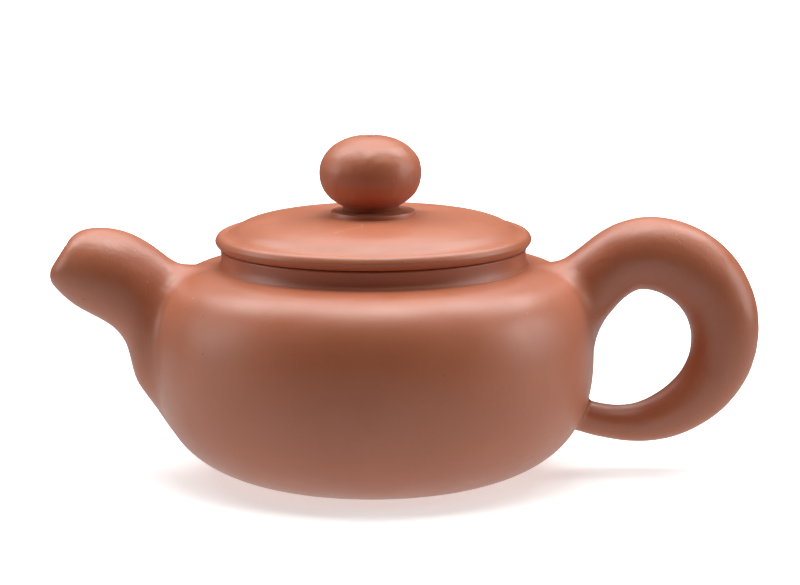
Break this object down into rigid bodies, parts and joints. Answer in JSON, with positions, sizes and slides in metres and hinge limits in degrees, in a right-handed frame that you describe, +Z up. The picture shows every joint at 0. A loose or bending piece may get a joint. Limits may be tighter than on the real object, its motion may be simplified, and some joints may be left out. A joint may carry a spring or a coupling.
{
  "type": "teapot",
  "caption": "A low, wide unglazed clay teapot with a short bent spout, a full ear handle and a lift-off domed lid with a round knob.",
  "frame": {"origin": "The centre of the flat foot, on the pot's vertical axis, in the plane that the pot stands on.", "axes": "+X runs from the spout towards the handle, +Y away from the viewer, +Z up along the pot's axis. The spout points to -X."},
  "size_m": [0.1423, 0.0884, 0.0683],
  "materials": {
    "pot_body": "unglazed, burnished",
    "pot_inside": "unglazed, scraped",
    "pot_limbs": "unglazed, hand worked",
    "lid_body": "unglazed, burnished",
    "lid_flange": "unglazed, scraped",
    "lid_knob": "unglazed, burnished"
  },
  "bodies": {
    "pot": {"base_disc": "pot_body", "body_wall": "pot_body", "shoulder_disc": "pot_body", "neck_ring": "pot_body", "spout": "pot_limbs", "strainer": "pot_inside", "handle": "pot_limbs"},
    "lid": {"lid_dome": "lid_body", "lid_flange": "lid_flange", "knob_collar": "lid_body", "knob": "lid_knob"}
  },
  "joints": [
    {"name": "lid_lift", "type": "slide", "parent": "pot", "child": "lid", "axis": [0, 0, 1], "range_m": [0, 0.05]}
  ]
}
